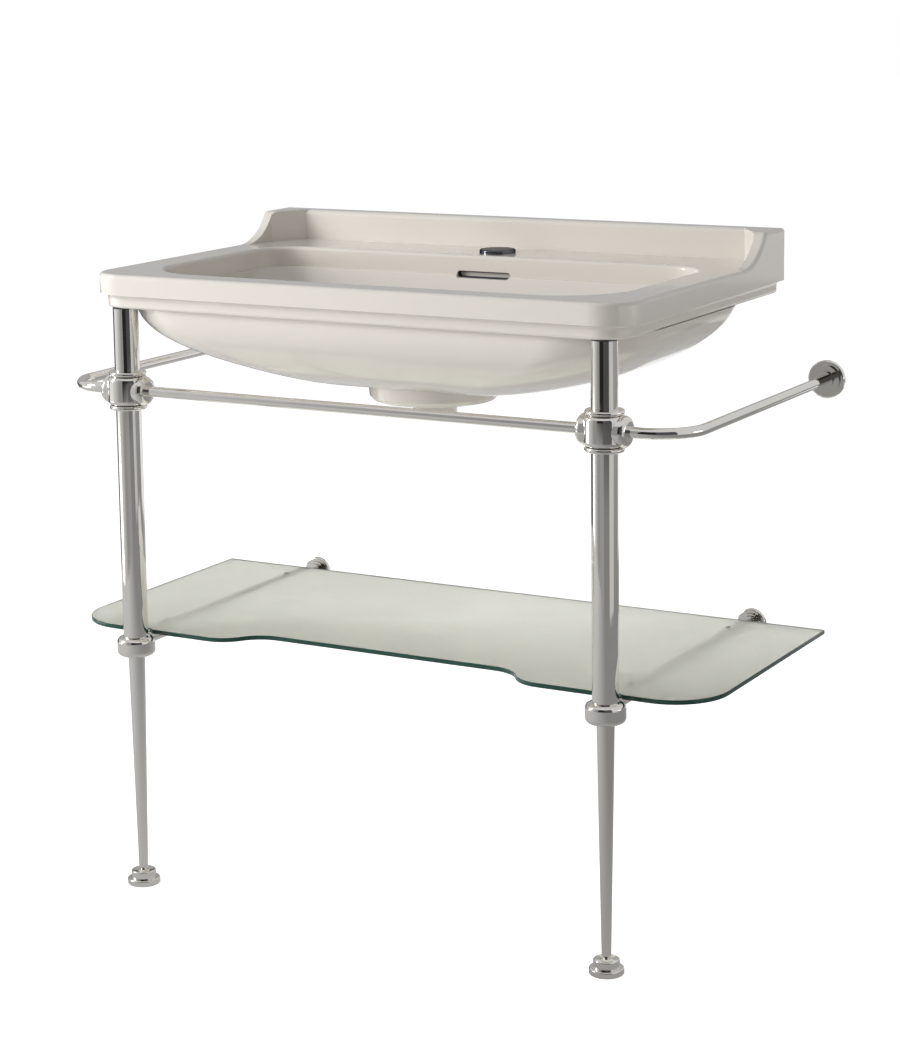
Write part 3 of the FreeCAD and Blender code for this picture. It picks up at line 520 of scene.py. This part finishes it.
def seen_directly(tree, strength, mirrored):
    """That strength for rays of the eye and through glass, a share of it for mirrors."""
    path = tree.nodes.new("ShaderNodeLightPath")
    dimmed = maths(tree, "MULTIPLY", path.outputs["Is Glossy Ray"], mirrored)
    both = maths(tree, "MAXIMUM", path.outputs["Is Camera Ray"], dimmed)
    every = maths(tree, "MAXIMUM", both, path.outputs["Is Transmission Ray"])
    return maths(tree, "MULTIPLY", every, strength)


def floor_material(colour):
    """Matt white that shows as plain white to the eye and keeps the shadows."""
    material, tree, shader, _ = worn_material(
        "stage_floor_white", "Patch", (shade(colour, 0.99), colour),
        patch=2.0, grain=100.0, roughness=(0.7, 0.8))
    set_sockets(shader, {"Specular IOR Level": 0.0, "Emission Color": (*WHITE, 1.0)})
    glow = seen_directly(tree, FLOOR_GLOW, FLOOR_MIRRORED)
    tree.links.new(glow, shader.inputs["Emission Strength"])
    return material


def screen_material(name, axis, change, tones):
    """A studio screen whose grey changes along one axis between two places."""
    material, tree, glow = empty_material(name, "ShaderNodeEmission", "Emission")
    place = tree.nodes.new("ShaderNodeTexCoord")
    split = tree.nodes.new("ShaderNodeSeparateXYZ")
    ramp = tree.nodes.new("ShaderNodeMapRange")
    set_sockets(ramp, {"From Min": change[0], "From Max": change[1], "To Min": tones[0],
                       "To Max": tones[1]})
    tree.links.new(place.outputs["Object"], split.inputs["Vector"])
    tree.links.new(split.outputs[axis], ramp.inputs["Value"])
    tree.links.new(ramp.outputs["Result"], glow.inputs["Color"])
    return material


def only_mirrored(piece):
    """Keeps a stage piece for bright metal and glaze alone to show."""
    for kind in ("camera", "diffuse", "transmission", "volume_scatter", "shadow"):
        setattr(piece, "visible_" + kind, False)


def screen(name, bearings, heights, tones, axis, change):
    """A curved screen round the object, from one bearing to another."""
    start, stop = bearings
    select_none()
    bpy.ops.mesh.primitive_cylinder_add(
        vertices=180, radius=SCREEN_RADIUS, depth=heights[1] - heights[0],
        end_fill_type="NOTHING", location=(0.0, 0.0, sum(heights) / 2))
    wall = bpy.context.object
    wall.name = name
    bpy.ops.object.transform_apply(location=True, rotation=False, scale=False)
    for face in wall.data.polygons:
        turn = math.degrees(math.atan2(face.center.x, -face.center.y))
        face.select = not (start < turn < stop or start < turn + 360.0 < stop)
    bpy.ops.object.mode_set(mode="EDIT")
    bpy.ops.mesh.select_mode(type="FACE")
    bpy.ops.mesh.delete(type="FACE")
    bpy.ops.object.mode_set(mode="OBJECT")
    set_material(wall, screen_material(name, axis, change, tones))
    only_mirrored(wall)


def floor_sheet():
    """A grey sheet on the floor, lighter on the left."""
    select_none()
    bpy.ops.mesh.primitive_circle_add(
        vertices=96, radius=SCREEN_RADIUS, fill_type="NGON", location=(0.0, 0.0, SHEET_LIFT))
    sheet = bpy.context.object
    sheet.name = "floor_sheet"
    set_material(sheet, screen_material("floor_sheet", "X", (-1.0, 1.0), SHEET_TONES))
    only_mirrored(sheet)


def add_floor(colour):
    """The wide pale floor."""
    select_none()
    bpy.ops.mesh.primitive_plane_add(size=FLOOR_SIZE, location=(0.0, 0.0, 0.0))
    floor = bpy.context.object
    floor.name = "stage_floor"
    set_material(floor, floor_material(colour))


def add_backdrop(sky):
    """White to the eye, a little less in mirrors, and the sky's level as light."""
    world = bpy.data.worlds.new("studio")
    bpy.context.scene.world = world
    world.use_nodes = True
    tree = world.node_tree
    back = tree.nodes["Background"]
    set_sockets(back, {"Color": (*WHITE, 1.0)})
    glow = seen_directly(tree, BACKDROP_GLOW, BACKDROP_MIRRORED)
    tree.links.new(maths(tree, "MAXIMUM", glow, sky), back.inputs["Strength"])


class WASHBASIN_OT_stage(bpy.types.Operator):
    """Builds the pale floor, the soft lamps, the screens and the camera"""
    bl_idname = "washbasin.stage"
    bl_label = "Stage"

    def execute(self, context):
        settings = context.scene.washbasin_stage
        add_floor(settings.background)
        add_backdrop(settings.sky)
        for values in SCREENS:
            screen(*values)
        floor_sheet()
        for name, place, target, size, share in LAMPS:
            area_lamp(name, place, target, size, settings.key * share)
        add_camera()
        context.scene.view_settings.view_transform = "Standard"
        return {"FINISHED"}


# ---------------------------------------------------------------- panel and running

class WASHBASIN_PT_panel(bpy.types.Panel):
    """Lists the steps and the settings"""
    bl_label = "Washbasin"
    bl_idname = "WASHBASIN_PT_panel"
    bl_space_type = "VIEW_3D"
    bl_region_type = "UI"
    bl_category = "Washbasin"

    def draw(self, context):
        for settings in (context.scene.washbasin_finish, context.scene.washbasin_stage):
            for name in settings.bl_rna.properties.keys():
                if name not in ("name", "rna_type"):
                    self.layout.prop(settings, name)
        for step in STEPS:
            self.layout.operator(step.bl_idname)


STEPS = (WASHBASIN_OT_finishes, WASHBASIN_OT_shelf, WASHBASIN_OT_screws, WASHBASIN_OT_stage)
CLASSES = (FinishSettings, StageSettings, *STEPS, WASHBASIN_PT_panel)


def register():
    for item in CLASSES:
        bpy.utils.register_class(item)
    bpy.types.Scene.washbasin_finish = bpy.props.PointerProperty(type=FinishSettings)
    bpy.types.Scene.washbasin_stage = bpy.props.PointerProperty(type=StageSettings)


def unregister():
    del bpy.types.Scene.washbasin_stage
    del bpy.types.Scene.washbasin_finish
    for item in reversed(CLASSES):
        bpy.utils.unregister_class(item)


def main():
    """Runs the steps in order."""
    register()
    for step in STEPS:
        family, name = step.bl_idname.split(".")
        getattr(getattr(bpy.ops, family), name)()


if __name__ == "__main__":
    main()
